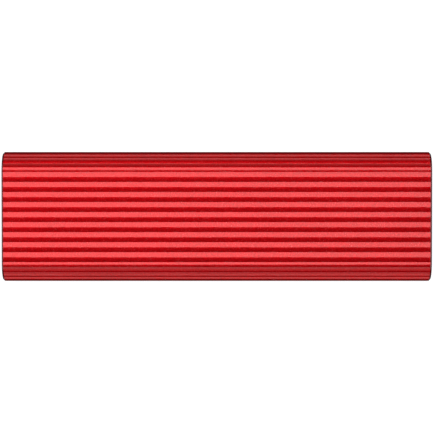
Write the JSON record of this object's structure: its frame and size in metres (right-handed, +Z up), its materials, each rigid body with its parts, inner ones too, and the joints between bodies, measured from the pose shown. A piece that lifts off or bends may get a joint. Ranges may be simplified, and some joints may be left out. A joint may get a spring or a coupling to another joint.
{
  "type": "portable solid state drive",
  "caption": "Portable solid state drive: ribbed red aluminium sleeve with inset end caps, a USB-C port and a slide-out carriage holding an M.2 board.",
  "frame": {"origin": "middle of the face that the drive lies on, below the middle of the sleeve", "axes": "+X along the drive towards the USB-C port, +Y across its width, +Z up"},
  "size_m": [0.106, 0.032, 0.0104],
  "materials": {
    "red_anodised": "satin",
    "cap_plastic": "matte",
    "gasket_rubber": "matte",
    "black_steel": "satin",
    "light_pipe": "frosted",
    "tray_aluminium": "satin",
    "spreader_aluminium": "brushed",
    "bright_steel": "polished",
    "brass": "turned",
    "bridge_laminate": "semi gloss",
    "drive_laminate": "semi gloss",
    "receptacle_steel": "satin",
    "insulator": "matte",
    "gold_contact": "polished",
    "tinned_lead": "satin",
    "led_body": "matte",
    "crystal_lid": "satin",
    "ferrite": "matte",
    "capacitor_ceramic": "matte",
    "resistor_body": "matte",
    "chip_moulding": "matte",
    "thermal_pad": "matte"
  },
  "bodies": {
    "sleeve_body": {"sleeve": "red_anodised"},
    "rear_cap_body": {"rear_cap": "cap_plastic", "rear_gasket": "gasket_rubber", "rear_screws": "black_steel"},
    "carriage_body": {"front_cap": "cap_plastic", "front_gasket": "gasket_rubber", "front_screws": "black_steel", "light_pipe": "light_pipe", "carriage_tray": "tray_aluminium", "tray_screws": "bright_steel", "board_spacers": "brass", "board_screws": "bright_steel", "bridge_board": "bridge_laminate", "usb_c_shell": "receptacle_steel", "usb_c_tongue": "insulator", "usb_c_contacts": "gold_contact", "status_led": "led_body", "bridge_chip": "chip_moulding", "bridge_flash": "chip_moulding", "bridge_crystal": "crystal_lid", "bridge_converter": "chip_moulding", "bridge_inductor": "ferrite", "bridge_capacitors": "capacitor_ceramic", "bridge_resistors": "resistor_body", "m2_socket": "insulator", "m2_socket_contacts": "tinned_lead", "m2_standoff": "brass", "m2_screw": "bright_steel", "drive_board": "drive_laminate", "drive_edge_contacts": "gold_contact", "drive_controller": "chip_moulding", "drive_memory": "chip_moulding", "flash_chip_1": "chip_moulding", "flash_chip_2": "chip_moulding", "drive_power_chip": "chip_moulding", "drive_inductors": "ferrite", "drive_crystal": "crystal_lid", "drive_capacitors": "capacitor_ceramic", "drive_resistors": "resistor_body", "thermal_pad": "thermal_pad", "heat_spreader": "spreader_aluminium"}
  },
  "joints": [
    {"name": "carriage_slide", "type": "slide", "parent": "sleeve_body", "child": "carriage_body", "axis": [1, 0, 0], "range_m": [0, 0.11]},
    {"name": "rear_cap_pull", "type": "slide", "parent": "sleeve_body", "child": "rear_cap_body", "axis": [-1, 0, 0], "range_m": [0, 0.012]}
  ]
}
